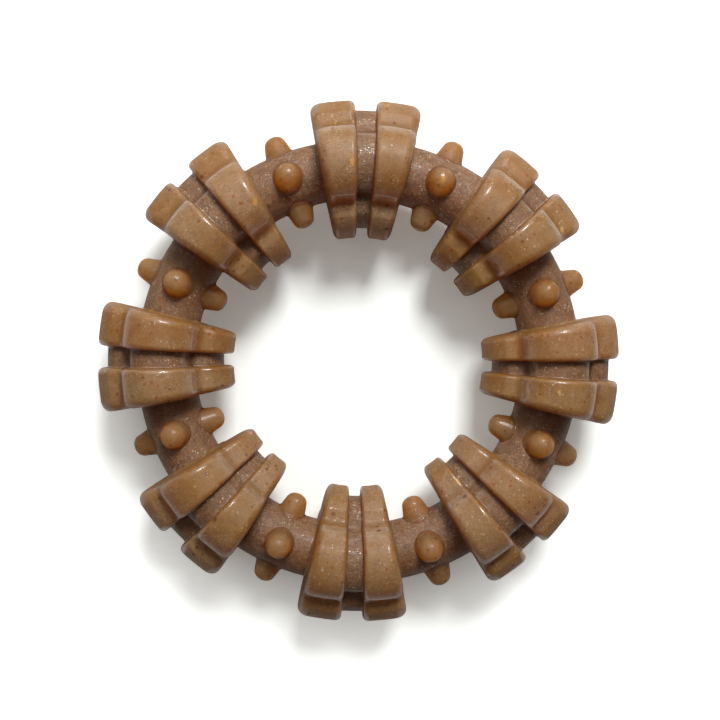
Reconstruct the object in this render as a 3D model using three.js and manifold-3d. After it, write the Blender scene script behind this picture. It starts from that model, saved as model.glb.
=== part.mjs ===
// A solid nylon chew ring for a large dog, lying flat.
//
// A round core ring carries eight bite stations. Each station is a pair of ribs that wrap the core,
// with a lower saddle between them. The ribs' sides are radial, so each rib flares outwards like a
// wedge. Ribs and saddles share a four-lobed section: a lobe points up, down, out and in, each a
// little narrower towards its end, and a soft valley lies on each diagonal. In each gap between
// stations four blunt tapered nubs stand on the core. Neighbouring pieces keep a thin bond gap
// between their faces.
//
// Millimetres, +Z up. The lowest crowns rest on Z = 0, and the ring's middle is over the origin.
import * as THREE from "three";
import { mergeVertices } from "three/addons/utils/BufferGeometryUtils.js";
import Module from "manifold-3d";

// Core ring
const RING_RADIUS = 51.9; // the ring's middle to the core's centreline
const CORE_RADIUS = 7.9;
const BOND_GAP = 0.3; // between the faces of neighbouring pieces

// Bite stations, evenly spaced round the core
const STATION_COUNT = 8;

// Ribs. Left and right are as seen from the ring's middle.
const RIB_REACH = 18.25; // the core's centreline to the end of a lobe
const RIB_CROWN_RADIUS = 10.6; // of the curve over the end of a lobe
const RIB_FLANK_DISTANCE = 10.05; // from the centre of the crown's curve to a flank's line
const RIB_SHOULDER_RADIUS = 2.2; // between a lobe's crown and its flanks
const RIB_VALLEY_RADIUS = 2.8; // between the flanks of two lobes
const RIB_THICKNESS = 9.2; // along the core's centreline
const RIB_FAR_EDGE_RADIUS = 2.3; // round the side that faces the nubs
const RIB_NEAR_EDGE_RADIUS = 1.3; // round the side that faces the saddle

const FLANK_TAPER = THREE.MathUtils.degToRad(15); // of a lobe's flanks against its direction
const SHARPEST_EDGE = 0.1; // the least radius that a shoulder keeps

// Saddles
const SADDLE_SPAN = 4.4; // between a station's two ribs, along the core's centreline
const SADDLE_REACH = 15.6;
const SADDLE_CROWN_RADIUS = 9;
const SADDLE_FLANK_DISTANCE = 8.1;
const SADDLE_SHOULDER_RADIUS = 2;
const SADDLE_VALLEY_RADIUS = 2.4;

// Nubs
const NUB_HEIGHT = 4.8; // above the core
const NUB_TAPER = THREE.MathUtils.degToRad(15); // of its side against its axis
const NUB_CROWN_RADIUS = 3.7; // of the gentle curve over its tip
const NUB_CROWN_HALF_ANGLE = THREE.MathUtils.degToRad(24);
const NUB_CORNER_RADIUS = 2.3; // between that curve and the side
const NUB_ROOT_DEPTH = 1.8; // below the level of the core's crown, before the foot is cut

// Facets
const CORE_SIDES = 16;
const CORE_STEPS = 64;
const CROWN_STEPS = 5; // odd, so that the lowest and highest crowns have a level land
const SHOULDER_STEPS = 1;
const VALLEY_STEPS = 2;
const FAR_EDGE_STEPS = 2;
const NEAR_EDGE_STEPS = 1;
const NUB_SIDES = 12;
const NUB_CORNER_STEPS = 2;

const SHADES = {
  core: { color: 0x866a57, roughness: 0.55, metalness: 0 },
  rib: { color: 0xa57b5c, roughness: 0.42, metalness: 0 },
  nub: { color: 0x9c6a42, roughness: 0.38, metalness: 0 },
};

const wasm = await Module();
wasm.setup();

// A closed three.js geometry as a solid that can be cut.
function toSolid(geometry) {
  const bare = new THREE.BufferGeometry();
  bare.setAttribute("position", geometry.getAttribute("position"));
  bare.setIndex(geometry.index);
  const merged = mergeVertices(bare);
  return new wasm.Manifold(
    new wasm.Mesh({
      numProp: 3,
      vertProperties: merged.getAttribute("position").array,
      triVerts: new Uint32Array(merged.index.array),
    }),
  );
}

// A solid as a flat-shaded three.js geometry.
function toGeometry(solid) {
  const mesh = solid.getMesh();
  const geometry = new THREE.BufferGeometry();
  geometry.setAttribute("position", new THREE.BufferAttribute(mesh.vertProperties, mesh.numProp));
  geometry.setIndex(new THREE.BufferAttribute(mesh.triVerts, 1));
  return geometry;
}

// The points of an arc about a centre, both ends included. Angles are in radians.
function arc(centreX, centreY, radius, from, to, steps) {
  return Array.from({ length: steps + 1 }, (_, i) => {
    const angle = THREE.MathUtils.lerp(from, to, i / steps);
    return new THREE.Vector2(centreX + radius * Math.cos(angle), centreY + radius * Math.sin(angle));
  });
}

// The four-lobed outline of a rib or a saddle, drawn in the plane across the core: x points away
// from the ring's middle, y points up, and the core's centreline is at 0, 0. It runs anticlockwise.
// An inset draws the parallel outline that lies that far inside.
function lobedOutline({ reach, crown, flankDistance, shoulder, valley }, inset = 0) {
  const crownRadius = crown - inset;
  const shoulderRadius = Math.max(shoulder - inset, SHARPEST_EDGE);
  const valleyRadius = valley + inset;
  const crownCentre = reach - crown;
  const toShoulder = crownRadius - shoulderRadius;
  const flankAngle = Math.asin((flankDistance - inset - shoulderRadius) / toShoulder);
  const crownHalfAngle = flankAngle - FLANK_TAPER;
  const shoulderX = crownCentre + toShoulder * Math.cos(crownHalfAngle);
  const shoulderY = toShoulder * Math.sin(crownHalfAngle);
  // A valley's centre lies on the diagonal, as far from one lobe's flank as from the next one's.
  const [taperSine, taperCosine] = [Math.sin(FLANK_TAPER), Math.cos(FLANK_TAPER)];
  const valleyCentre =
    (flankDistance + valley + crownCentre * taperSine) / (taperSine + taperCosine);

  // The crown's inner facets are tangent to its arc, so the lobe has its full reach.
  const crownArc = arc(0, 0, crownRadius, -crownHalfAngle, crownHalfAngle, CROWN_STEPS);
  const outward = 1 / Math.cos(crownHalfAngle / CROWN_STEPS);
  crownArc.slice(1, -1).forEach((point) => point.multiplyScalar(outward));
  const toCrown = new THREE.Vector2(crownCentre, 0);
  crownArc.forEach((point) => point.add(toCrown));

  const shoulderArc = arc(
    shoulderX, shoulderY, shoulderRadius, crownHalfAngle, Math.PI / 2 - FLANK_TAPER, SHOULDER_STEPS);
  const valleyArc = arc(
    valleyCentre, valleyCentre, valleyRadius,
    -Math.PI / 2 - FLANK_TAPER, FLANK_TAPER - Math.PI, VALLEY_STEPS);
  // The next lobe's first shoulder is this one's, seen in a mirror on the diagonal.
  const nextShoulder = shoulderArc.map((point) => new THREE.Vector2(point.y, point.x)).reverse();

  const quarter = [...crownArc.slice(1), ...shoulderArc.slice(1), ...valleyArc, ...nextShoulder];
  const middle = new THREE.Vector2();
  return [0, 1, 2, 3].flatMap((turn) =>
    quarter.map((point) => point.clone().rotateAround(middle, (turn * Math.PI) / 2)));
}

// A closed sector of the ring with a bore for the core. Each slice is an outline and its place,
// an arc length along the core's centreline, and the places rise from slice to slice.
function sector(slices) {
  const bore = arc(0, 0, CORE_RADIUS + BOND_GAP, 0, 2 * Math.PI, CORE_SIDES).slice(0, -1);
  const positions = [];
  const indices = [];

  const addLoop = (points, place) => {
    const first = positions.length / 3;
    const turn = place / RING_RADIUS;
    for (const { x, y } of points) {
      const radius = RING_RADIUS + x;
      positions.push(radius * Math.cos(turn), radius * Math.sin(turn), y);
    }
    return first;
  };
  const addSkin = (a, b, count) => {
    for (let i = 0; i < count; i += 1) {
      const j = (i + 1) % count;
      indices.push(a + i, b + i, b + j, a + i, b + j, a + j);
    }
  };

  const outerLoops = slices.map(({ outline, place }) => addLoop(outline, place));
  const outerCount = slices[0].outline.length;
  outerLoops.slice(1).forEach((loop, i) => addSkin(outerLoops[i], loop, outerCount));

  const ends = [slices[0], slices.at(-1)];
  const [boreStart, boreEnd] = ends.map(({ place }) => addLoop(bore, place));
  addSkin(boreEnd, boreStart, bore.length);

  ends.forEach(({ outline }, end) => {
    const outerStart = end === 0 ? outerLoops[0] : outerLoops.at(-1);
    const innerStart = end === 0 ? boreStart : boreEnd;
    const vertex = (i) => (i < outerCount ? outerStart + i : innerStart + i - outerCount);
    for (const [a, b, c] of THREE.ShapeUtils.triangulateShape(outline, [bore])) {
      const corners = [vertex(a), vertex(b), vertex(c)];
      indices.push(...(end === 0 ? corners : corners.reverse()));
    }
  });

  const geometry = new THREE.BufferGeometry();
  geometry.setAttribute("position", new THREE.Float32BufferAttribute(positions, 3));
  geometry.setIndex(indices);
  geometry.computeVertexNormals();
  return geometry;
}

// A rib on one side of its saddle: side is 1 for the side where the ring's angle grows, or -1.
function ribGeometry(side) {
  const section = {
    reach: RIB_REACH,
    crown: RIB_CROWN_RADIUS,
    flankDistance: RIB_FLANK_DISTANCE,
    shoulder: RIB_SHOULDER_RADIUS,
    valley: RIB_VALLEY_RADIUS,
  };
  // A rounded edge: how far in from the side face, and how far inside the outline, at each step.
  const edge = (radius, steps) =>
    Array.from({ length: steps + 1 }, (_, i) => {
      const angle = ((i / steps) * Math.PI) / 2;
      return { depth: radius * (1 - Math.cos(angle)), inset: radius * (1 - Math.sin(angle)) };
    });
  const near = edge(RIB_NEAR_EDGE_RADIUS, NEAR_EDGE_STEPS);
  const far = edge(RIB_FAR_EDGE_RADIUS, FAR_EDGE_STEPS)
    .map(({ depth, inset }) => ({ depth: RIB_THICKNESS - depth, inset }))
    .reverse();
  const slices = [...near, ...far].map(({ depth, inset }) => ({
    outline: lobedOutline(section, inset),
    place: side * (SADDLE_SPAN / 2 + depth),
  }));
  return sector(side > 0 ? slices : slices.reverse());
}

// The saddle between a station's ribs, a bond gap short of each.
function saddleGeometry() {
  const outline = lobedOutline({
    reach: SADDLE_REACH,
    crown: SADDLE_CROWN_RADIUS,
    flankDistance: SADDLE_FLANK_DISTANCE,
    shoulder: SADDLE_SHOULDER_RADIUS,
    valley: SADDLE_VALLEY_RADIUS,
  });
  const halfSpan = SADDLE_SPAN / 2 - BOND_GAP;
  return sector([-halfSpan, halfSpan].map((place) => ({ outline, place })));
}

// A nub before its foot is cut: a cone with a blunt tip, along +Z from the core's centreline.
function nubBlank() {
  const top = CORE_RADIUS + NUB_HEIGHT;
  const toCorner = NUB_CROWN_RADIUS - NUB_CORNER_RADIUS;
  const corner = arc(
    toCorner * Math.sin(NUB_CROWN_HALF_ANGLE),
    top - NUB_CROWN_RADIUS + toCorner * Math.cos(NUB_CROWN_HALF_ANGLE),
    NUB_CORNER_RADIUS, NUB_TAPER, Math.PI / 2 - NUB_CROWN_HALF_ANGLE, NUB_CORNER_STEPS);
  // The side goes on below the core's crown, to be cut off where the core curves away.
  const root = CORE_RADIUS - NUB_ROOT_DEPTH;
  const rootRadius = corner[0].x + (corner[0].y - root) * Math.tan(NUB_TAPER);
  const profile = [
    new THREE.Vector2(0, root),
    new THREE.Vector2(rootRadius, root),
    ...corner,
    new THREE.Vector2(0, top),
  ];
  return new THREE.LatheGeometry(profile, NUB_SIDES).rotateX(Math.PI / 2);
}

// The four nubs of a gap: which way each points from the core, as an angle from outwards to up.
const NUB_LEANS = { outer: 0, top: Math.PI / 2, inner: Math.PI, bottom: -Math.PI / 2 };

// A nub in its place on the core, at the ring's angle 0, with its foot cut to the core's curve.
function nubGeometry(lean) {
  const blank = nubBlank()
    .rotateY(Math.PI / 2 - lean)
    .translate(RING_RADIUS, 0, 0);
  const seat = new THREE.TorusGeometry(RING_RADIUS, CORE_RADIUS + BOND_GAP, CORE_SIDES, CORE_STEPS);
  return toGeometry(toSolid(blank).subtract(toSolid(seat)));
}

function piece(name, geometry, shade) {
  const mesh = new THREE.Mesh(geometry, new THREE.MeshStandardMaterial(shade));
  mesh.name = name;
  return mesh;
}

// One station at the ring's angle 0: a saddle between two ribs.
function station(number) {
  const group = new THREE.Group();
  group.add(
    piece(`saddle_${number}`, saddleGeometry(), SHADES.core),
    piece(`rib_${number}_right`, ribGeometry(-1), SHADES.rib),
    piece(`rib_${number}_left`, ribGeometry(1), SHADES.rib),
  );
  return group;
}

// One gap at the ring's angle 0: the nubs that point out, up, in and down.
function nubSet(number) {
  const group = new THREE.Group();
  for (const [way, lean] of Object.entries(NUB_LEANS))
    group.add(piece(`nub_${number}_${way}`, nubGeometry(lean), SHADES.nub));
  return group;
}

const chewRing = new THREE.Group();
chewRing.position.z = RIB_REACH;
const core = new THREE.TorusGeometry(RING_RADIUS, CORE_RADIUS, CORE_SIDES, CORE_STEPS);
chewRing.add(piece("core_ring", core, SHADES.core));
for (let i = 0; i < STATION_COUNT; i += 1) {
  const pitch = (2 * Math.PI) / STATION_COUNT;
  const bite = station(i + 1);
  bite.rotation.z = i * pitch;
  const nubs = nubSet(i + 1);
  nubs.rotation.z = (i + 0.5) * pitch;
  chewRing.add(bite, nubs);
}

export default chewRing;
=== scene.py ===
# %% [markdown]
# # A nylon chew ring
#
# The real thing is one hard, slightly cloudy nylon moulding: a round bar bent to a ring, with eight bite
# stations and four blunt nubs in each gap between them. A station is a lower saddle between two tall ribs.
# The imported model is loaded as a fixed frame. Its solids have the right places and sizes but plain facets,
# so each one gets a finer piece here that stands for it and sits exactly where it sits.

import itertools
import math

import bmesh
import bpy
from mathutils import Matrix, Vector


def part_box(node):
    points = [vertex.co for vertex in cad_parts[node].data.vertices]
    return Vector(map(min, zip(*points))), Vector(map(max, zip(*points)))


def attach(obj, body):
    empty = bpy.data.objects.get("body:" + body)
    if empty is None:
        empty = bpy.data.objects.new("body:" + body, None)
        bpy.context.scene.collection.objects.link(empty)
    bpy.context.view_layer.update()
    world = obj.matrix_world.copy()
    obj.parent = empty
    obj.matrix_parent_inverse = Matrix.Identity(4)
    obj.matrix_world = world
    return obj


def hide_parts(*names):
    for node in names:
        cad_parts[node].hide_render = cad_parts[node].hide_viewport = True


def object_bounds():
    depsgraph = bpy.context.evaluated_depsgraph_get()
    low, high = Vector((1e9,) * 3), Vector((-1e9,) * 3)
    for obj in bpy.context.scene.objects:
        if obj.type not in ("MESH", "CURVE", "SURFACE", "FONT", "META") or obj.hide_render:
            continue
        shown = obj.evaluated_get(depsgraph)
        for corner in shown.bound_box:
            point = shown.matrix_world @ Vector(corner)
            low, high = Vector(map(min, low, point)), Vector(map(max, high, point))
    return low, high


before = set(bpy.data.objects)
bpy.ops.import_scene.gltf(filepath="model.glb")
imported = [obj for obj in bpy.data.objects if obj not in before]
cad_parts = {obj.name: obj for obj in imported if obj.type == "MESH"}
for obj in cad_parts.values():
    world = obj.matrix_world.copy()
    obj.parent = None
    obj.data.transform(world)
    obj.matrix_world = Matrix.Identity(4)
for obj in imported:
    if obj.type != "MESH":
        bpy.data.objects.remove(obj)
cad_low, cad_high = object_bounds()
scene = bpy.context.scene
print(len(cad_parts), "solids, from", tuple(cad_low), "to", tuple(cad_high))

# %% [markdown]
# ## Sizes
#
# The sizes that the frame can tell are read from it: the core's bar, how far ribs, saddles and nubs reach.
# The rest are the sizes of the same mouldings, in metres.

# %% Read the sizes from the frame
MM = 0.001
STATIONS = 8
PITCH = 2 * math.pi / STATIONS

core_low, core_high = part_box("core_ring")
MIDDLE_HEIGHT = (core_low.z + core_high.z) / 2
CORE_RADIUS = (core_high.z - core_low.z) / 2
RING_RADIUS = core_high.x - CORE_RADIUS
RIB_REACH = cad_high.z - MIDDLE_HEIGHT
SADDLE_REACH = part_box("saddle_1")[1].z - MIDDLE_HEIGHT
NUB_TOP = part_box("nub_1_top")[1].z - MIDDLE_HEIGHT
print("ring radius", RING_RADIUS, "core radius", CORE_RADIUS, "rib reach", RIB_REACH)
print("saddle reach", SADDLE_REACH, "nub top", NUB_TOP)

# %% [markdown]
# ## Sums on sockets
#
# The shapes and the finishes are both formulas. A small class wraps one socket of a node tree, so that
# a Python expression such as `1 - mask * 0.5` adds the Math nodes by itself. Every other node comes from
# one method, which sets the node's settings first and then its sockets.

# %% Write sums as Python expressions
class Value:
    """A socket that can be used in a sum: each operator adds a Math node."""

    def __init__(self, tree, socket):
        self.tree = tree
        self.socket = socket

    def math(self, operation, *others):
        sockets = dict(enumerate((self, *others)))
        return self.tree.node("ShaderNodeMath", {"operation": operation}, sockets)

    def __add__(self, other):
        return self.math("ADD", other)

    def __radd__(self, other):
        return self.math("ADD", other)

    def __mul__(self, other):
        return self.math("MULTIPLY", other)

    def __rmul__(self, other):
        return self.math("MULTIPLY", other)

    def __sub__(self, other):
        return self.math("SUBTRACT", other)

    def __rsub__(self, other):
        return (self * -1).math("ADD", other)

    def __truediv__(self, other):
        return self.math("DIVIDE", other)

    def __rtruediv__(self, other):
        return self.math("POWER", -1) * other

    def output(self, name):
        """Another output of the same node."""
        return Value(self.tree, self.socket.node.outputs[name])

    def split(self):
        """The three numbers of a vector or a colour."""
        parts = self.tree.node("ShaderNodeSeparateXYZ", {}, {0: self})
        return parts, parts.output("Y"), parts.output("Z")


class Tree:
    """A node tree that is written as a list of sums."""

    def __init__(self, node_tree):
        self.nodes = node_tree.nodes
        self.links = node_tree.links

    def node(self, kind, settings, sockets, output=0):
        """Adds a node: settings first, then a value or a link for each named socket."""
        node = self.nodes.new(kind)
        for name, setting in settings.items():
            setattr(node, name, setting)
        for name, value in sockets.items():
            if isinstance(value, Value):
                self.links.new(value.socket, node.inputs[name])
            else:
                node.inputs[name].default_value = value
        return Value(self, node.outputs[output]) if node.outputs else node

    def vector(self, x, y, z):
        return self.node("ShaderNodeCombineXYZ", {}, {0: x, 1: y, 2: z})

    def between(self, value, low, high, at_low, at_high):
        """A number that runs from at_low to at_high while value runs from low to high, and then holds."""
        sockets = {0: value, 1: low, 2: high, 3: at_low, 4: at_high}
        return self.node("ShaderNodeMapRange", {}, sockets)

    def scaled(self, vector, factor):
        return self.node("ShaderNodeVectorMath", {"operation": "SCALE"}, {0: vector, "Scale": factor})

    def sum(self, first, second):
        return self.node("ShaderNodeVectorMath", {"operation": "ADD"}, {0: first, 1: second})

    def cloud(self, point, size, detail=1.0):
        """Soft noise from 0 to 1 whose blobs are about this size."""
        return self.node("ShaderNodeTexNoise", {}, {"Vector": point, "Scale": 1 / size, "Detail": detail})

    def ragged(self, point, size, amount):
        """A point pushed about by noise, which makes a round spot ragged."""
        push = self.cloud(point, size).output("Color")
        sockets = {0: push, 1: (amount, amount, amount), 2: point}
        return self.node("ShaderNodeVectorMath", {"operation": "MULTIPLY_ADD"}, sockets)

    def mix(self, first, second, share):
        """A colour between two, by a share from 0 to 1."""
        sockets = {0: share, 6: first, 7: second}
        return self.node("ShaderNodeMix", {"data_type": "RGBA"}, sockets, output=2)


print("the socket class is ready")

# %% [markdown]
# ## Nylon
#
# Up close the nylon is a waxy tan with a lot going on: soft clouds of lighter and darker colour, brown and
# rust specks, a few long gold flecks, clusters of tiny glints, which are painted in as pale dots, and fine
# scratches. The ribs and nubs are glossier and more amber. The core and saddles are greyer, with scuffs and
# faint streaks that run round the ring. One function makes all three finishes from a list of colours and
# amounts, because it is the same stuff: only the mould's polish differs. The patterns come first, as
# helpers.

# %% Spots, scratches and streaks
# Each kind of spot: how far apart its cells are, the largest radius, and the share of cells that have one.
RUST_SPECKS = (1.8 * MM, 0.65 * MM, 0.60)
BROWN_SPECKS = (3.0 * MM, 0.85 * MM, 0.50)
GOLD_FLECKS = (3.6 * MM, 0.9 * MM, 0.30)
SPARKLES = (0.60 * MM, 0.30 * MM, 0.45)
# Each kind of scratch: the size of its curls, and how far from its middle value the noise may be.
COARSE_SCRATCHES = (4 * MM, 0.009)
FINE_SCRATCHES = (1.8 * MM, 0.022)


def spots(tree, point, kind, amount=1.0):
    """Small spots: a random pattern of cells, of which a share has a spot, most of them small."""
    spacing, radius, share = kind
    cells = tree.node("ShaderNodeTexVoronoi", {}, {"Vector": point, "Scale": 1 / spacing})
    pick, size, _ = cells.output("Color").split()
    limit = (0.3 + 0.7 * size * size) * (radius / spacing)
    edge = tree.between(cells, limit * 0.6, limit, 1, 0)
    return edge * pick.math("LESS_THAN", share * amount)


def scratches(tree, point, kind):
    """Fine curling lines: the places where soft noise passes through its middle value."""
    size, width = kind
    away = (tree.cloud(point, size, 2.0) - 0.5).math("ABSOLUTE")
    return tree.between(away, 0, width, 1, 0)


STREAK_LENGTH = 7 * MM
STREAK_WIDTH = 0.35 * MM


def streaks(tree, point):
    """Fine lines along the ring. Noise in four dimensions reads the ring's direction, so it has no seam."""
    x, y, z = point.split()
    radius = (x * x + y * y).math("SQRT")
    turns = RING_RADIUS / STREAK_LENGTH
    away = (radius - RING_RADIUS) / STREAK_WIDTH
    up = (z - MIDDLE_HEIGHT) / STREAK_WIDTH
    sockets = {
        "Vector": tree.vector(x / radius * turns, y / radius * turns, away), "W": up,
        "Scale": 1.0, "Detail": 2.0,
    }
    return tree.node("ShaderNodeTexNoise", {"noise_dimensions": "4D"}, sockets)


print("four kinds of spot, at most", [round(radius / MM, 2) for _, radius, _ in (
    RUST_SPECKS, BROWN_SPECKS, GOLD_FLECKS, SPARKLES)], "mm in radius")

# %% [markdown]
# Some looks depend on the form: an edge is smoother, and a wall is a deeper amber, which is painted shade. A
# shader can't tell an edge from a wall, so the forms keep five numbers at their points, and the finish reads
# them by name. A piece that lacks one of them reads 0. The colour starts as clouds of two tones, and amber
# patches, which are the nylon's own, go over them. Then amber is painted over the walls and the nubs' feet
# as shade, for the deep glow they have where they are shaded and lit through the nylon. Noise crowds round
# 0.5, so the limits that cut it into patches stay near 0.5.

# %% Read the marks, cloud the colour
MARKS = {
    # amber also tells the colour where to paint amber shade.
    "amber": "1 on a wall or at a nub's foot, where light crosses more nylon, and 0 on top",
    "edge": "1 on the rounded edges, which come smoother out of the mould",
    "rim": "1 on a lobe's shoulders, which are rubbed pale",
    "hollow": "1 in the valleys between lobes, where more light comes out",
    "foot": "1 where a nub meets the core and takes on the core's colour",
}
CORE_BROWN = (0.190, 0.076, 0.017, 1)
MOTTLE_SIZE = 16 * MM
PATCH_SIZE = 7 * MM


def clouded(tree, point, marks, body, cloudy, amber):
    """The nylon's colour before wear and specks, with amber shade painted on walls and nubs' feet."""
    mottle = tree.cloud(point, MOTTLE_SIZE, 3.0)
    patch = tree.cloud(tree.ragged(point, 5 * MM, 3 * MM), PATCH_SIZE, 2.0)
    colour = tree.mix(body, cloudy, tree.between(mottle, 0.35, 0.65, 0, 1))
    colour = tree.mix(colour, amber, tree.between(patch, 0.48, 0.68, 0, 0.5))
    # Painted shade: walls and nubs' feet turn deeper amber, as they look where they are shaded and lit
    # through.
    colour = tree.mix(colour, amber, marks["amber"] * 0.6)
    footing = marks["foot"] * tree.between(tree.cloud(point, 1.6 * MM, 2.0), 0.35, 0.6, 0.7, 1)
    return tree.mix(colour, CORE_BROWN, footing)


for mark, meaning in MARKS.items():
    print(mark, "is", meaning)

# %% [markdown]
# Frost is where many fine scratches have turned the surface pale and dull. The scratches that can be told
# apart lie mostly in it, some coarse and more of them fine. The specks come last, because they lie in the
# nylon itself and are mixed over everything, and the tiny glints come with them, painted as pale dots.

# %% Wear the surface, scatter the specks
SPECK_BROWN = (0.120, 0.034, 0.001, 1)
SPECK_RUST = (0.27, 0.060, 0.001, 1)
FLECK_GOLD = (0.62, 0.31, 0.06, 1)
# The pale colour of a painted glint.
PAINTED_GLINT = (0.80, 0.66, 0.42, 1)
FROST_SIZE = 30 * MM
GRAIN_SIZE = 0.9 * MM
FLECK_LEAN = (0.5, 0.9, 0.7)
FLECK_STRETCH = (1, 0.5, 1)


def wear(tree, point, scuffing):
    """How frosted and how scratched the surface is, both from 0 to 1."""
    frost = tree.between(tree.cloud(point, FROST_SIZE, 1.0), 0.48, 0.62, 0, 1)
    frost = frost * tree.between(tree.cloud(point, 7 * MM, 3.0), 0.40, 0.60, 0.2, 1)
    frost = (frost + scuffing * 0.5).math("MINIMUM", 1)
    fine = scratches(tree, tree.ragged(point, 9 * MM, 6 * MM), FINE_SCRATCHES)
    lines = scratches(tree, point, COARSE_SCRATCHES).math("MAXIMUM", fine)
    return frost, lines * (0.15 + 0.85 * frost)


def specked(tree, point, colour, speckling):
    """The colour with all specks and painted glints on it, the glint dots alone, and how much the specks
    stop light.
    """
    rough_point = tree.ragged(point, GRAIN_SIZE, 0.5 * MM)
    rust = spots(tree, rough_point, RUST_SPECKS, speckling)
    brown = spots(tree, rough_point, BROWN_SPECKS, speckling)
    lying = {0: rough_point, "Rotation": FLECK_LEAN, "Scale": FLECK_STRETCH}
    gold = spots(tree, tree.node("ShaderNodeMapping", {}, lying), GOLD_FLECKS, speckling)
    where = tree.between(tree.cloud(point, 6 * MM), 0.44, 0.56, 0.1, 1)
    glint_dots = spots(tree, point, SPARKLES) * where
    colour = tree.mix(colour, SPECK_RUST, rust * 0.85)
    colour = tree.mix(colour, SPECK_BROWN, brown * 0.9)
    colour = tree.mix(colour, FLECK_GOLD, gold * 0.8)
    # Painted highlight: the glint dots are coloured pale for the lamp's glints; their coat and bump are
    # below.
    colour = tree.mix(colour, PAINTED_GLINT, glint_dots * 0.7)
    return colour, glint_dots, rust.math("MAXIMUM", brown).math("MAXIMUM", gold) * 0.35


print("wear and specks are ready")

# %% [markdown]
# The nylon is a little see-through. Its lit sides look pale and hazy, and its shaded sides glow deep amber
# with light that has come through. So each finish mixes two shaders. A Principled BSDF has the colour,
# with a broad soft sheen that is the haze and a thin coat that mirrors the window where the mould was
# smooth. A Translucent BSDF passes light on from the other side, and a deeper one takes its place where
# that light has crossed a wall or a foot.

# %% Make the nylon
LUMP_SIZE = 2.2 * MM
DUST_SIZE = 0.45 * MM
FINE_GRAIN_SIZE = 0.33 * MM
RUB_SIZE = 4 * MM
LUMP_DEPTH = 0.045  # this and the next five are in millimetres
SCRATCH_DEPTH = 0.030
STREAK_DEPTH = 0.014
SPARKLE_DEPTH = 0.02
PIT_DEPTH = 0.016
FROST_PIT_DEPTH = 0.024


def nylon(name, body, cloudy, amber, scuff_and_sheen, through, deep, gloss, haze, scuffing, speckling, glow):
    """One nylon finish. The first six are colours and the last five are amounts from 0 to 1."""
    made = bpy.data.materials.new(name)
    made.use_nodes = True
    made.node_tree.nodes.clear()
    tree = Tree(made.node_tree)
    point = tree.node("ShaderNodeTexCoord", {}, {}).output("Object")
    marks = {
        mark: tree.node("ShaderNodeAttribute", {"attribute_name": mark}, {}).output("Fac")
        for mark in MARKS}

    frost, worn = wear(tree, point, scuffing)
    streak = streaks(tree, point)
    scratched = (worn * 0.6 + tree.between(streak, 0.5, 0.75, 0, 1) * 0.2) * scuffing
    dusty = tree.between(tree.cloud(point, DUST_SIZE, 3.0), 0.48, 0.68, 0, 1) * frost
    # Painted reflection: the shoulders are coloured pale, broken up by noise, for the bright floor they
    # mirror.
    painted = marks["rim"] * tree.between(tree.cloud(point, RUB_SIZE, 3.0), 0.4, 0.6, 0.3, 1)
    grain = tree.cloud(point, GRAIN_SIZE, 3.0)
    fine = tree.cloud(point, FINE_GRAIN_SIZE, 2.0)
    lumps = tree.cloud(point, LUMP_SIZE, 2.0)

    colour = clouded(tree, point, marks, body, cloudy, amber)
    # Scratches and frost are wear; the rims' share is the painted reflection.
    colour = tree.mix(colour, scuff_and_sheen, scratched + dusty * 0.45 + painted * 0.6)
    colour = tree.mix(colour, SPECK_BROWN, tree.between(grain, 0.55, 0.78, 0, 0.3))
    uneven = (fine - 0.5) * (1.2 + 0.7 * scuffing) + (grain - 0.5) * (0.8 + 0.5 * scuffing)
    colour = tree.scaled(colour, 1 + uneven + (lumps - 0.5) * (0.4 + 0.3 * scuffing))
    colour, glint_dots, opaque = specked(tree, point, colour, speckling)

    # Only the polished edges, the sparkles and the scratches are sharp enough to mirror the window.
    roughness = 0.70 - 0.12 * gloss + (grain - 0.5) * 0.2 - marks["edge"] * 0.2
    coat = gloss * (0.02 + 0.8 * marks["edge"]) + glint_dots * 0.7 + scratched

    pits = tree.cloud(point, DUST_SIZE, 2.0) * (PIT_DEPTH + FROST_PIT_DEPTH * frost)
    pits = pits * (1 - 0.8 * marks["edge"]) * (1 + 1.6 * scuffing)
    height = lumps * LUMP_DEPTH + pits + glint_dots * SPARKLE_DEPTH
    height = height + (streak * STREAK_DEPTH - worn * SCRATCH_DEPTH) * scuffing

    bump = tree.node("ShaderNodeBump", {}, {"Strength": 1.0, "Distance": 1.0, "Height": height * MM})
    surface = tree.node("ShaderNodeBsdfPrincipled", {}, {
        "Base Color": colour,
        "Roughness": roughness,
        "IOR": 1.5,
        "Specular IOR Level": haze,
        "Coat Weight": coat.math("MINIMUM", 1),
        "Coat Roughness": 0.10,
        "Normal": bump,
    })
    thin_side = tree.node("ShaderNodeBsdfTranslucent", {}, {"Color": through})
    thick_side = tree.node("ShaderNodeBsdfTranslucent", {}, {"Color": deep})
    thick = marks["amber"].math("MINIMUM", 1)
    inside = tree.node("ShaderNodeMixShader", {}, {0: thick, 1: thin_side, 2: thick_side})
    share = (glow + marks["hollow"] * 0.15) * (1 - opaque)
    whole = tree.node("ShaderNodeMixShader", {}, {0: share, 1: surface, 2: inside})
    tree.node("ShaderNodeOutputMaterial", {}, {"Surface": whole})
    return made


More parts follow.
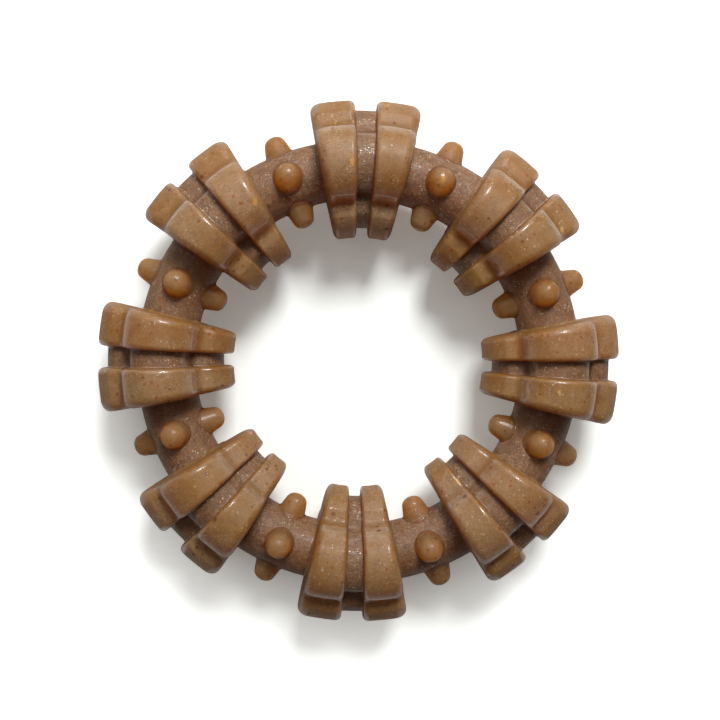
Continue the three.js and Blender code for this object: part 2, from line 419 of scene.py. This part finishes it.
core_nylon = nylon(
    "core nylon", body=CORE_BROWN, cloudy=(0.220, 0.096, 0.026, 1),
    amber=(0.180, 0.060, 0.006, 1), scuff_and_sheen=(0.40, 0.28, 0.18, 1),
    through=(0.72, 0.24, 0.01, 1), deep=(0.30, 0.11, 0.006, 1),
    gloss=0.2, haze=0.9, scuffing=1.0, speckling=0.45, glow=0.3)
rib_nylon = nylon(
    "rib nylon", body=(0.314, 0.168, 0.044, 1), cloudy=(0.372, 0.226, 0.104, 1),
    amber=(0.300, 0.130, 0.018, 1), scuff_and_sheen=(0.52, 0.40, 0.28, 1),
    through=(0.88, 0.36, 0.02, 1), deep=(0.42, 0.15, 0.009, 1),
    gloss=1.0, haze=0.62, scuffing=0.15, speckling=1.0, glow=0.38)
nub_nylon = nylon(
    "nub nylon", body=(0.303, 0.207, 0.098, 1), cloudy=(0.323, 0.232, 0.122, 1),
    amber=(0.250, 0.115, 0.015, 1), scuff_and_sheen=(0.52, 0.40, 0.28, 1),
    through=(0.94, 0.53, 0.045, 1), deep=(0.68, 0.26, 0.004, 1),
    gloss=1.0, haze=0.45, scuffing=0.1, speckling=1.0, glow=0.55)
print("three finishes:", core_nylon.name, rib_nylon.name, nub_nylon.name)

# %% [markdown]
# ## How a shape is grown
#
# Each kind of moulding is a Geometry Nodes tree with named sizes. It bends a flat grid into one closed
# blank, places the copy that its number asks for out of the whole pattern round the ring, and makes the
# surface a little uneven, as moulded nylon is. Running a tree gives a plain mesh, and the modifier and
# its object are thrown away before the frame hears of the piece.

# %% Start a tree, run a tree
def new_tree(name, sizes):
    """An empty tree with one named number for each size, and the values of those numbers inside it."""
    made = bpy.data.node_groups.new(name, "GeometryNodeTree")
    for size in sizes:
        kind = "NodeSocketInt" if size == "Number" else "NodeSocketFloat"
        made.interface.new_socket(size, in_out="INPUT", socket_type=kind)
    made.interface.new_socket("Geometry", in_out="OUTPUT", socket_type="NodeSocketGeometry")
    tree = Tree(made)
    first = tree.node("NodeGroupInput", {}, {})
    return made, tree, {size: first.output(size) for size in sizes}


def run_tree(made, sizes, name):
    """The tree's result with these sizes, as a plain mesh whose faces point outwards."""
    holder = bpy.data.objects.new(name, bpy.data.meshes.new(name))
    scene.collection.objects.link(holder)
    modifier = holder.modifiers.new("form", "NODES")
    modifier.node_group = made
    for item in made.interface.items_tree:
        if item.in_out == "INPUT":
            modifier[item.identifier] = sizes[item.name]
    depsgraph = bpy.context.evaluated_depsgraph_get()
    mesh = bpy.data.meshes.new_from_object(holder.evaluated_get(depsgraph), depsgraph=depsgraph)
    bpy.data.objects.remove(holder)
    form = bmesh.new()
    form.from_mesh(mesh)
    if form.calc_volume(signed=True) < 0:
        bmesh.ops.reverse_faces(form, faces=form.faces)
        form.to_mesh(mesh)
    form.free()
    mesh.name = name
    return mesh


def copy_in_pattern(tree, blank, number, count, position, rotation):
    """One copy of the blank: the points hold every place in the pattern, and the number picks one."""
    index = tree.node("GeometryNodeInputIndex", {}, {})
    points = tree.node("GeometryNodePoints", {}, {"Count": count, "Position": position(index)})
    chosen = tree.node(
        "FunctionNodeCompare", {"data_type": "INT", "operation": "EQUAL"}, {2: index, 3: number})
    sockets = {"Points": points, "Selection": chosen, "Instance": blank, "Rotation": rotation(index)}
    placed = tree.node("GeometryNodeInstanceOnPoints", {}, sockets)
    return tree.node("GeometryNodeRealizeInstances", {}, {0: placed})


def grid(tree, columns, rows):
    """A unit square of points, with its two coordinates from 0 to 1."""
    square = tree.node(
        "GeometryNodeMeshGrid", {}, {0: 1, 1: 1, "Vertices X": columns + 1, "Vertices Y": rows + 1})
    x, y, _ = tree.node("GeometryNodeInputPosition", {}, {}).split()
    return square, x + 0.5, y + 0.5


def move_to(tree, geometry, position):
    return tree.node("GeometryNodeSetPosition", {}, {"Geometry": geometry, "Position": position})


SEAM = 0.002 * MM  # points this close are one point


def close_seams(tree, geometry):
    """Joins the grid's opposite borders, and all the points of a pole."""
    return tree.node("GeometryNodeMergeByDistance", {}, {"Geometry": geometry, "Distance": SEAM})


WAVE_SIZE = 9 * MM
WAVE_DEPTH = 0.16 * MM
DIMPLE_SIZE = 2.4 * MM
DIMPLE_DEPTH = 0.035 * MM


def hand_over(tree, geometry, material):
    """Lifts the form to its height, sinks it unevenly by a hair, and gives it its material."""
    lift = tree.vector(0, 0, MIDDLE_HEIGHT)
    lifted = tree.node("GeometryNodeTransform", {}, {"Geometry": geometry, "Translation": lift})
    place = tree.node("GeometryNodeInputPosition", {}, {})
    normal = tree.node("GeometryNodeInputNormal", {}, {})
    wave = (tree.cloud(place, WAVE_SIZE) - 1) * WAVE_DEPTH
    dimple = (tree.cloud(place, DIMPLE_SIZE) - 1) * DIMPLE_DEPTH
    offset = tree.scaled(normal, wave + dimple)
    uneven = tree.node("GeometryNodeSetPosition", {}, {"Geometry": lifted, "Offset": offset})
    smooth = tree.node("GeometryNodeSetShadeSmooth", {}, {"Geometry": uneven})
    finished = tree.node("GeometryNodeSetMaterial", {}, {"Geometry": smooth, "Material": material})
    tree.node("NodeGroupOutput", {}, {0: finished})


def marked(tree, geometry, marks):
    """Keeps the marks at every point, for the finish to read, as they are where the points are now."""
    for name, value in marks.items():
        sockets = {"Geometry": geometry, "Name": name, "Value": value}
        settings = {"data_type": "FLOAT", "domain": "POINT"}
        geometry = tree.node("GeometryNodeStoreNamedAttribute", settings, sockets)
    return geometry


def add_piece(mesh, node):
    """The finished piece stands for its CAD node and rides where that rides."""
    piece = bpy.data.objects.new(f"nylon_{node}", mesh)
    scene.collection.objects.link(piece)
    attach(piece, "root")
    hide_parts(node)
    return piece


print("the shape helpers are ready")

# %% [markdown]
# ## Core ring
#
# On the real ring the core is a plain round bar that closes on itself. A circle swept along a circle is
# exactly that, so this tree works on curves: one is the centreline and one is the bar's section.

# %% Grow the core
CORE_STEPS = 384
CORE_SIDES = 96


def core_tree():
    made, tree, size = new_tree("core bar", ("Ring radius", "Core radius"))
    circle = "GeometryNodeCurvePrimitiveCircle"
    centreline = tree.node(circle, {}, {"Resolution": CORE_STEPS, "Radius": size["Ring radius"]})
    section = tree.node(circle, {}, {"Resolution": CORE_SIDES, "Radius": size["Core radius"]})
    bar = tree.node("GeometryNodeCurveToMesh", {}, {0: centreline, 1: section})
    hand_over(tree, bar, core_nylon)
    return made


core = run_tree(core_tree(), {"Ring radius": RING_RADIUS, "Core radius": CORE_RADIUS}, "core_ring")
add_piece(core, "core_ring")
print("core ring:", len(core.polygons), "faces")

# %% [markdown]
# ## Ribs and saddles
#
# A rib and a saddle are the same form in two sizes: a sector of the ring whose section has four lobes.
# Half a lobe is an arc over the end, a rounded shoulder, a short flank and half a valley, each tangent to
# the next. Such arcs can be summed, because an angle that stops growing holds its arc's end, so one
# formula runs along all of them. Across the piece, the grid's other direction climbs the near wall, turns
# over a rounded edge, crosses the top, turns down the far wall and comes back along the bore.

# %% Write the lobed section as a formula
QUARTER = math.pi / 2
SHARPEST_EDGE = 0.1 * MM
FLANK_TAPER = math.radians(15)  # of a lobe's flanks against its own direction
HALF_LOBE_STEPS = {"crown": 18, "shoulder": 7, "flank": 3, "valley": 7}
RIM_FROM, RIM_FULL = 0.65, 0.95  # how far a shoulder has turned, in radians, where it is polished and painted with a pale reflection
RIM_UNTIL = 0.5  # how far the valley after it has turned, where that ends


def ends(steps):
    """Where each stretch ends, as a share of all the steps."""
    so_far = itertools.accumulate(steps.values())
    return {name: count / sum(steps.values()) for name, count in zip(steps, so_far)}


def lobed_point(tree, size, around, inset):
    """The point at a share of the way around, on the outline that lies inset inside, and two marks."""
    end = ends(HALF_LOBE_STEPS)
    eighths = around * 8
    lobe = (eighths / 2).math("ROUND")
    side = eighths - lobe * 2
    along = side.math("ABSOLUTE")
    taper_sine, taper_cosine = math.sin(FLANK_TAPER), math.cos(FLANK_TAPER)

    crown_centre = size["Reach"] - size["Crown radius"]
    shoulder = (size["Shoulder radius"] - inset).math("MAXIMUM", SHARPEST_EDGE)
    valley = size["Valley radius"] + inset
    inner = size["Crown radius"] - inset - shoulder
    crown_angle = ((size["Flank distance"] - inset - shoulder) / inner).math("ARCSINE") - FLANK_TAPER
    valley_centre = size["Flank distance"] + crown_centre * taper_sine + size["Valley radius"]
    valley_centre = valley_centre / (taper_sine + taper_cosine)
    flank = crown_centre + inner * crown_angle.math("COSINE") - valley_centre
    flank = (flank + (shoulder + valley) * taper_sine) / taper_cosine

    over_crown = tree.between(along, 0, end["crown"], 0, crown_angle)
    past_crown = tree.between(along, end["crown"], end["shoulder"], 0, QUARTER - FLANK_TAPER - crown_angle)
    down_flank = tree.between(along, end["shoulder"], end["flank"], 0, flank)
    bend = tree.between(along, end["flank"], end["valley"], FLANK_TAPER, QUARTER / 2)
    turned = over_crown + past_crown
    out = crown_centre + inner * over_crown.math("COSINE") + shoulder * turned.math("COSINE")
    out = out - down_flank * taper_cosine - valley * (bend.math("SINE") - taper_sine)
    aside = inner * over_crown.math("SINE") + shoulder * turned.math("SINE")
    aside = aside + down_flank * taper_sine + valley * (taper_cosine - bend.math("COSINE"))
    aside = aside * side.math("SIGN")

    cosine, sine = (lobe * QUARTER).math("COSINE"), (lobe * QUARTER).math("SINE")
    # The rim mark is where the finish polishes a shoulder and paints a pale reflection on it.
    rim = tree.between(turned, RIM_FROM, RIM_FULL, 0, 1) * tree.between(bend, FLANK_TAPER, RIM_UNTIL, 1, 0)
    rim = rim * sine.math("ABSOLUTE")  # only on the lobes that point up and down
    hollow = tree.between(bend, FLANK_TAPER, QUARTER / 2, 0, 1)
    return out * cosine - aside * sine, out * sine + aside * cosine, rim, hollow


print("half a lobe has", sum(HALF_LOBE_STEPS.values()), "steps")

# %% Bend a grid into a lobed sector
ACROSS_STEPS = {"near wall": 4, "near edge": 8, "top": 12, "far edge": 9, "far wall": 6, "bore": 2}
BORE_SINK = 0.15 * MM  # how far a bore lies under the core's surface
ROOT_RADIUS = 0.6 * MM  # of the fillet where a far wall meets the core
BAND_SIZES = (
    "Number", "Ring radius", "Core radius", "Reach", "Crown radius", "Flank distance",
    "Shoulder radius", "Valley radius", "Face", "Thickness", "Near edge", "Far edge", "Edge sense", "Side",
)


def band_tree(name, material):
    made, tree, size = new_tree(name, BAND_SIZES)
    square, around, across = grid(tree, 8 * sum(HALF_LOBE_STEPS.values()), sum(ACROSS_STEPS.values()))
    end = ends(ACROSS_STEPS)
    near, far = size["Near edge"], size["Far edge"]
    up_edge = tree.between(across, end["near wall"], end["near edge"], 0, QUARTER)
    over_top = tree.between(across, end["near edge"], end["top"], 0, 1)
    down_edge = tree.between(across, end["top"], end["far edge"], QUARTER, 0)
    near_wall = tree.between(across, 0, end["near wall"], 1, 0)
    far_wall = tree.between(across, end["far edge"], end["far wall"], 0, 1)
    back = tree.between(across, end["far wall"], 1, 0, 1)

    top = size["Thickness"] - near - far
    depth = near * (1 - up_edge.math("COSINE")) + top * over_top + far * down_edge.math("COSINE")
    depth = depth - size["Thickness"] * back
    near_share = 1 - up_edge.math("SINE")
    far_share = 1 - down_edge.math("SINE")
    inset = (near * near_share + far * far_share + (near - far) * back) * size["Edge sense"]
    x, y, rim, hollow = lobed_point(tree, size, around, inset)

    # The walls run straight to the bore, with closer steps near it for the fillet at the far root.
    wall = 1 - (1 - near_wall - far_wall).math("POWER", 2)
    reach = (x * x + y * y).math("SQRT")
    shrink = 1 - wall + wall * (size["Core radius"] - BORE_SINK) / reach
    lift = (reach * shrink - size["Core radius"]) / ROOT_RADIUS
    close = 1 - lift.math("MAXIMUM", 0).math("MINIMUM", 1)
    flare = 1 - (1 - close * close).math("SQRT")
    depth = depth + flare * far_wall * (1 - back) * ROOT_RADIUS

    turn = (size["Face"] + depth) * size["Side"] / size["Ring radius"]
    radius = size["Ring radius"] + x * shrink
    place = tree.vector(radius * turn.math("COSINE"), radius * turn.math("SINE"), y * shrink)

    # The marks. An edge is where the surface has begun to turn down but isn't a wall yet.
    near_edge = tree.between(near_share, 0.0, 0.01, 0, 1) * tree.between(near_share, 0.5, 0.9, 1, 0)
    far_edge = tree.between(far_share, 0.0, 0.01, 0, 0.6) * tree.between(far_share, 0.5, 0.9, 1, 0)
    rim = rim * tree.between(near_share + far_share, 0, 0.5, 1, 0)
    # amber is where the finish paints amber shade on the walls; rim is where it paints a pale reflection.
    marks = {
        "amber": near_share + far_share * 0.5,
        "edge": near_edge.math("MAXIMUM", far_edge).math("MAXIMUM", rim),
        "rim": rim,
        "hollow": hollow,
    }
    bent = close_seams(tree, move_to(tree, marked(tree, square, marks), place))
    right_hand = size["Side"].math("GREATER_THAN", 0)
    blank = tree.node("GeometryNodeFlipFaces", {}, {0: bent, 1: right_hand})

    placed = copy_in_pattern(
        tree, blank, size["Number"], STATIONS,
        lambda index: tree.vector(0, 0, 0),
        lambda index: tree.vector(0, 0, index * PITCH))
    hand_over(tree, placed, material)
    return made


print("a band's blank has", 8 * sum(HALF_LOBE_STEPS.values()) * sum(ACROSS_STEPS.values()), "faces")

# %% [markdown]
# One tree serves both pieces, and only the sizes differ. A rib is twice as thick as its saddle, reaches
# further, and is rounder on the side that faces the nubs. The saddle's edges have the opposite sense: they
# curve out instead of in, as the small fillets where it meets the ribs do.

# %% Grow the ribs and the saddles
SADDLE_SPAN = 4.4 * MM
SADDLE_FILLET = 0.45 * MM
RIB = {
    "Ring radius": RING_RADIUS, "Core radius": CORE_RADIUS, "Reach": RIB_REACH,
    "Crown radius": 10.6 * MM, "Flank distance": 10.05 * MM, "Shoulder radius": 2.2 * MM,
    "Valley radius": 2.8 * MM, "Face": SADDLE_SPAN / 2, "Thickness": 9.2 * MM,
    "Near edge": 1.3 * MM, "Far edge": 2.3 * MM, "Edge sense": 1.0,
}
SADDLE = {
    "Ring radius": RING_RADIUS, "Core radius": CORE_RADIUS, "Reach": SADDLE_REACH,
    "Crown radius": 9 * MM, "Flank distance": 8.1 * MM, "Shoulder radius": 2.0 * MM,
    "Valley radius": 2.4 * MM, "Face": -SADDLE_SPAN / 2, "Thickness": SADDLE_SPAN,
    "Near edge": SADDLE_FILLET, "Far edge": SADDLE_FILLET, "Edge sense": -1.0,
}
rib_tree = band_tree("rib", rib_nylon)
saddle_tree = band_tree("saddle", core_nylon)
for number in range(STATIONS):
    place = {"Number": number, "Side": 1.0}
    node = f"saddle_{number + 1}"
    saddle = run_tree(saddle_tree, SADDLE | place, node)
    add_piece(saddle, node)
    for hand, side in (("left", 1.0), ("right", -1.0)):
        node = f"rib_{number + 1}_{hand}"
        rib = run_tree(rib_tree, RIB | place | {"Side": side}, node)
        add_piece(rib, node)
print("a rib has", len(rib.polygons), "faces and a saddle", len(saddle.polygons))

# %% [markdown]
# ## Nubs
#
# A nub is a blunt cone with a round tip. Its foot has to follow the core's round bar, which is curved
# differently on the outside, the top and the inside of the ring. So the cone is made longer than it needs
# to be and its lower end stays hidden in the bar. Near the bar's surface, every point is moved away from
# the nub's axis by what is left of a small quarter circle, which is the fillet at the foot.

# %% Grow the nubs
NUB_TAPER = math.radians(15)  # of the cone's side against the nub's axis
NUB_CROWN_RADIUS = 3.7 * MM  # of the gentle curve over the tip
NUB_CORNER_RADIUS = 2.3 * MM  # between that curve and the cone
NUB_CROWN_ANGLE = math.radians(24)
NUB_SIDE = 4.9 * MM  # the length of the cone's side, whose end stays hidden in the bar
NUB_FILLET = 0.3 * MM
NUB_POLISH = 0.45
AMBER_LEVEL = 0.5  # how much painted amber shade a nub's foot gets when the nub lies level, and how much more when upright
AMBER_UPRIGHT = 0.9
FOOT_BLEND = 0.15 * MM  # above the core, over which the colour turns into the core's
NUB_SIDES = 64
NUB_STEPS = {"under": 2, "cone": 20, "corner": 8, "crown": 5}
NUB_WAYS = ("outer", "top", "inner", "bottom")


def nub_tree():
    made, tree, size = new_tree("nub", ("Number", "Ring radius", "Core radius", "Top"))
    square, around, along = grid(tree, NUB_SIDES, sum(NUB_STEPS.values()))
    end = ends(NUB_STEPS)
    under = tree.between(along, 0, end["under"], 1, 0)
    down = tree.between(along, end["under"], end["cone"], NUB_SIDE, 0)
    past_crown = tree.between(along, end["cone"], end["corner"], QUARTER - NUB_TAPER - NUB_CROWN_ANGLE, 0)
    over_crown = tree.between(along, end["corner"], 1, NUB_CROWN_ANGLE, 0)
    tilt = over_crown + past_crown
    inner = NUB_CROWN_RADIUS - NUB_CORNER_RADIUS
    height = size["Top"] - NUB_CROWN_RADIUS + inner * over_crown.math("COSINE")
    height = height + NUB_CORNER_RADIUS * tilt.math("COSINE") - down * math.cos(NUB_TAPER)
    radius = inner * over_crown.math("SINE") + NUB_CORNER_RADIUS * tilt.math("SINE")
    radius = (radius + down * math.sin(NUB_TAPER)) * (1 - under)
    turn = around * (-2 * math.pi)
    place = tree.vector(height, radius * turn.math("COSINE"), radius * turn.math("SINE"))
    upright = size["Number"].math("FLOORED_MODULO", 2)  # 1 for the nubs that point up and down
    # Painted shade: the foot is coloured deeper amber, most on the nubs that point up and down.
    amber = down / NUB_SIDE * (AMBER_LEVEL + AMBER_UPRIGHT * upright)
    marks = {"amber": amber, "edge": NUB_POLISH}
    blank = close_seams(tree, move_to(tree, marked(tree, square, marks), place))

    def gap_turn(index):
        return ((index / 4).math("FLOOR") + 0.5) * PITCH

    def where(index):
        turn, radius = gap_turn(index), size["Ring radius"]
        return tree.vector(radius * turn.math("COSINE"), radius * turn.math("SINE"), 0)

    def lean(index):
        return tree.vector(0, index.math("FLOORED_MODULO", 4) * -QUARTER, gap_turn(index))

    count = len(NUB_WAYS) * STATIONS
    nub = copy_in_pattern(tree, blank, size["Number"], count, where, lean)

    # The fillet at the foot: away from the nub's axis, by the height above the bar's surface.
    here = tree.node("GeometryNodeInputPosition", {}, {})
    x, y, z = here.split()
    out = (x * x + y * y).math("SQRT")
    height = ((out - size["Ring radius"]).math("POWER", 2) + z * z).math("SQRT") - size["Core radius"]
    close = 1 - (height / NUB_FILLET).math("MAXIMUM", 0).math("MINIMUM", 1)
    flare = (1 - (1 - close * close).math("SQRT")) * NUB_FILLET
    gap, tilt = gap_turn(size["Number"]), size["Number"].math("FLOORED_MODULO", 4) * QUARTER
    axis = tree.vector(
        tilt.math("COSINE") * gap.math("COSINE"), tilt.math("COSINE") * gap.math("SINE"), tilt.math("SINE"))
    vector_math = "ShaderNodeVectorMath"
    arm = tree.node(vector_math, {"operation": "SUBTRACT"}, {0: here, 1: where(size["Number"])})
    along_axis = tree.node(vector_math, {"operation": "DOT_PRODUCT"}, {0: arm, 1: axis}, output=1)
    aside = tree.sum(arm, tree.scaled(axis, along_axis * -1))
    aside = tree.node(vector_math, {"operation": "NORMALIZE"}, {0: aside})
    seated = move_to(tree, nub, tree.sum(here, tree.scaled(aside, flare)))
    foot = tree.between(height, 0, FOOT_BLEND, 1, 0)
    hand_over(tree, marked(tree, seated, {"foot": foot}), nub_nylon)
    return made


NUB = {"Ring radius": RING_RADIUS, "Core radius": CORE_RADIUS, "Top": NUB_TOP}
nubs = nub_tree()
for number in range(len(NUB_WAYS) * STATIONS):
    gap, way = divmod(number, len(NUB_WAYS))
    node = f"nub_{gap + 1}_{NUB_WAYS[way]}"
    nub = run_tree(nubs, NUB | {"Number": number}, node)
    add_piece(nub, node)
print("a nub has", len(nub.polygons), "faces")

# %% [markdown]
# ## Ground and light
#
# The photograph was taken on a plain white ground that is lit until it is pure white. The floor here is
# an ordinary pale diffuse surface, which takes the ring's shadow. For the camera alone a glow is added to
# it: a faint warm one near the ring, where the photograph's shadows are a warm grey, and full white from
# a little way out. A glow that only the camera sees lights nothing, so the ring keeps its own shading.

# %% Lay the floor
FLOOR_HALF_SIZE = 1.5
FLOOR_WHITE = (0.905, 0.935, 0.915, 1)
GLOW_NEAR = 0.19
GLOW_FAR = 1.0
GLOW_COLOUR_NEAR = (0.98, 0.95, 0.88, 1)
GLOW_FROM, GLOW_FULL = 65 * MM, 110 * MM  # from the ring's axis

corners = [(-1, -1), (1, -1), (1, 1), (-1, 1)]
floor_mesh = bpy.data.meshes.new("floor")
floor_mesh.from_pydata([(x * FLOOR_HALF_SIZE, y * FLOOR_HALF_SIZE, 0) for x, y in corners], [], [range(4)])
floor = bpy.data.objects.new("floor", floor_mesh)
scene.collection.objects.link(floor)

ground = bpy.data.materials.new("white ground")
ground.use_nodes = True
ground.node_tree.nodes.clear()
tree = Tree(ground.node_tree)
matte = tree.node("ShaderNodeBsdfDiffuse", {}, {"Color": FLOOR_WHITE})
x, y, _ = tree.node("ShaderNodeTexCoord", {}, {}).output("Object").split()
away = tree.between((x * x + y * y).math("SQRT"), GLOW_FROM, GLOW_FULL, 0, 1)
glow_colour = tree.mix(GLOW_COLOUR_NEAR, (1, 1, 1, 1), away)
glow = tree.node("ShaderNodeEmission", {}, {"Color": glow_colour, "Strength": 1.0})
share = GLOW_NEAR + away * (GLOW_FAR - GLOW_NEAR)
camera_ray = tree.node("ShaderNodeLightPath", {}, {})
lifted = tree.node("ShaderNodeMixShader", {}, {0: camera_ray * share, 2: glow})
surface = tree.node("ShaderNodeAddShader", {}, {0: matte, 1: lifted})
tree.node("ShaderNodeOutputMaterial", {}, {"Surface": surface})
floor_mesh.materials.append(ground)
print("floor", 2 * FLOOR_HALF_SIZE, "m across")

# %% [markdown]
# The highlights in the photograph lie towards its top, so the light comes from beyond the ring. A small
# lamp is the window: it gives the crisp dots on the nubs and the bright lines along the ribs' edges. A
# broad one beside it is the soft light round the window. The room itself is dim. Only in reflections is
# it brighter beyond the ring, and the camera sees it as white.

# %% Light the scene
ROOM_STRENGTH = 0.045
ROOM_REFLECTED = 0.04
NORTH_REFLECTED = 1.1  # beyond the ring


def add_lamp(name, direction, distance, size, power):
    """A square lamp that looks at the ring's middle from a direction."""
    lamp = bpy.data.objects.new(name, bpy.data.lights.new(name, "AREA"))
    lamp.data.size = size
    lamp.data.energy = power
    way = Vector(direction).normalized()
    lamp.location = way * distance
    lamp.rotation_euler = way.to_track_quat("Z", "Y").to_euler()
    scene.collection.objects.link(lamp)
    return lamp


add_lamp("window", direction=(0.12, 0.60, 0.79), distance=0.6, size=0.18, power=3.7)
add_lamp("soft light", direction=(-0.20, 0.52, 0.84), distance=0.6, size=0.8, power=1.35)

room = bpy.data.worlds.new("room")
scene.world = room
room.use_nodes = True
room.node_tree.nodes.clear()
tree = Tree(room.node_tree)
camera_ray = tree.node("ShaderNodeLightPath", {}, {})
_, north, _ = tree.node("ShaderNodeTexCoord", {}, {}).output("Generated").split()
reflected = tree.between(north, 0.3, 0.95, ROOM_REFLECTED, NORTH_REFLECTED)
strength = ROOM_STRENGTH + camera_ray.output("Is Glossy Ray") * (reflected - ROOM_STRENGTH)
strength = strength.math("MAXIMUM", camera_ray)
background = tree.node("ShaderNodeBackground", {}, {"Color": (1, 1, 1, 1), "Strength": strength})
tree.node("ShaderNodeOutputWorld", {}, {"Surface": background})
scene.view_settings.view_transform = "Standard"
print("room strength", ROOM_STRENGTH)

# %% [markdown]
# ## Camera
#
# The photograph is a close view from almost straight above, taken a little left of the ring's middle and
# beyond it. The eye's place comes from how far the upper lobes shift against the lower ones. Places here
# are in the picture's own directions, to the right and up from the ring's axis. The picture is turned a
# little against the ring, and its middle isn't quite where the lens points, which is a small shift.

# %% Place the camera
PICTURE_TURN = math.radians(1.52)
SENSOR = 36.0
LENS = 40.4
EYE = Vector((-8.12, 8.12)) * MM
EYE_RISE = 218.7 * MM  # above the ring's middle plane
LENS_POINTS_AT = Vector((-7.12, 1.30)) * MM
PICTURE_MIDDLE = Vector((0.47, 0.76)) * MM

across = Vector((math.cos(PICTURE_TURN), -math.sin(PICTURE_TURN)))
upward = Vector((math.sin(PICTURE_TURN), math.cos(PICTURE_TURN)))


def on_ring(picture_place, rise=0.0):
    """A place given in the picture's directions, as a point in the ring's frame."""
    return Vector((picture_place.dot(across), picture_place.dot(upward), MIDDLE_HEIGHT + rise))


eye = on_ring(EYE, EYE_RISE)
back = (eye - on_ring(LENS_POINTS_AT)).normalized()
right = Vector((-math.sin(PICTURE_TURN), math.cos(PICTURE_TURN), 0)).cross(back).normalized()
up = back.cross(right)
camera = bpy.data.objects.new("camera", bpy.data.cameras.new("camera"))
camera.data.lens = LENS
camera.data.sensor_width = SENSOR
camera.data.clip_start = 0.01
camera.matrix_world = Matrix.Translation(eye) @ Matrix((right, up, back)).transposed().to_4x4()
to_middle = on_ring(PICTURE_MIDDLE) - eye
camera.data.shift_x = to_middle.dot(right) / -to_middle.dot(back) * LENS / SENSOR
camera.data.shift_y = to_middle.dot(up) / -to_middle.dot(back) * LENS / SENSOR
scene.collection.objects.link(camera)
scene.camera = camera
print("eye", tuple(eye), "shift", camera.data.shift_x, camera.data.shift_y)
